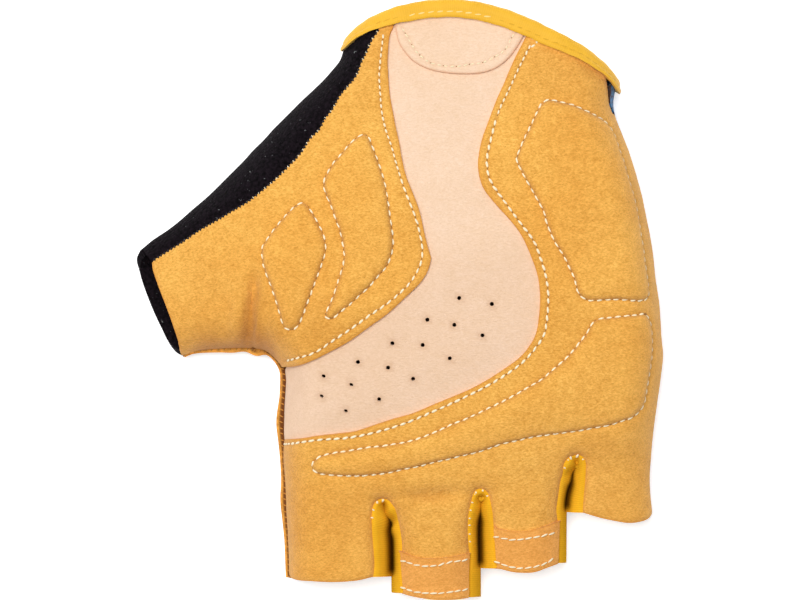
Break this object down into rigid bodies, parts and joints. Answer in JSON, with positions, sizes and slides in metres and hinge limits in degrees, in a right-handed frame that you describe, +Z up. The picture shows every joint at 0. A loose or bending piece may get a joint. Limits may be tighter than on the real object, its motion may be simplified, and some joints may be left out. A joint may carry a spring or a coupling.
{
  "type": "short-finger cycling mitt",
  "caption": "Right-hand fingerless cycling mitt lying palm up: padded suede palm, elastic finger side walls, towelling thumb, knit back, taped cuff",
  "frame": {"origin": "centre of the footprint on the surface that the mitt lies on", "axes": "+Z up out of the palm, +Y from the fingertips to the wrist, +X from the thumb to the little finger"},
  "size_m": [0.1317, 0.1499, 0.0243],
  "materials": {
    "mustard_suede": "matte",
    "peach_suede": "matte",
    "tan_suede": "matte",
    "cut_edge": "matte",
    "yellow_elastic": "satin",
    "black_terry": "matte",
    "blue_knit": "matte"
  },
  "bodies": {
    "root": {"palm_centre": "peach_suede", "thenar_panel": "mustard_suede", "finger_panel": "mustard_suede", "thenar_short_pad": "mustard_suede", "thenar_long_pad": "mustard_suede", "heel_pad": "mustard_suede", "palm_pad": "mustard_suede", "wrist_tab": "peach_suede", "wrist_binding": "yellow_elastic", "back_panel": "blue_knit", "thumb_terry": "black_terry", "index_middle_fourchette": "yellow_elastic", "middle_ring_fourchette": "yellow_elastic", "ring_little_fourchette": "yellow_elastic", "middle_pull_tab": "tan_suede", "ring_pull_tab": "tan_suede", "thumb_seam_allowance": "cut_edge", "index_seam_allowance": "cut_edge"}
  },
  "joints": []
}
